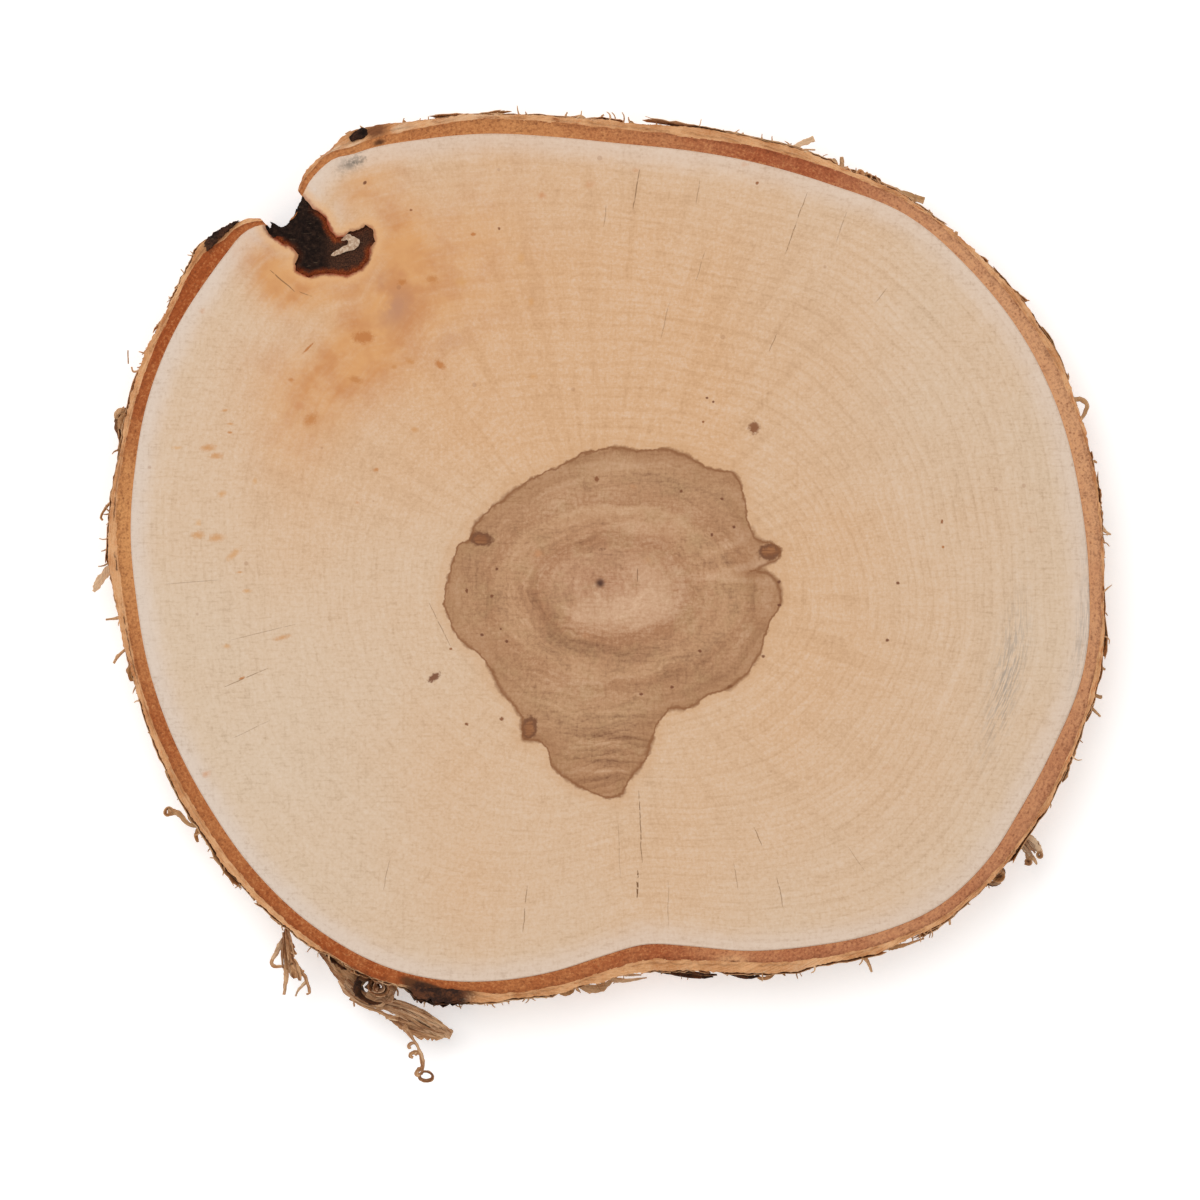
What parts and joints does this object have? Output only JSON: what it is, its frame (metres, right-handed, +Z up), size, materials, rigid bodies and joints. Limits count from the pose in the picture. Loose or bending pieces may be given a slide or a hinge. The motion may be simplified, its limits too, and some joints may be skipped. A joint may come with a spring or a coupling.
{
  "type": "wood slice",
  "caption": "Round cross-cut slice of a birch trunk with brown false heart, bark round its edge, a rotten bark seam in one side and shreds of peeling bark.",
  "frame": {"origin": "the pith, on the lower cut face", "axes": "+Z up out of the upper cut face, +X along the slice's widest way, to the side opposite the most ragged bark, +Y towards the side of the notch"},
  "size_m": [0.2545, 0.2423, 0.025],
  "materials": {
    "sapwood": "sawn and sanded, unvarnished, with a brown false heart in the middle",
    "inner_bark": "dry, matt and fibrous, red-brown",
    "outer_bark": "dry, papery and peeling, tan",
    "rotten_wood": "crumbly and matt, nearly black with a rust-red edge"
  },
  "bodies": {
    "root": {"wood_slice": "sapwood"}
  },
  "joints": []
}
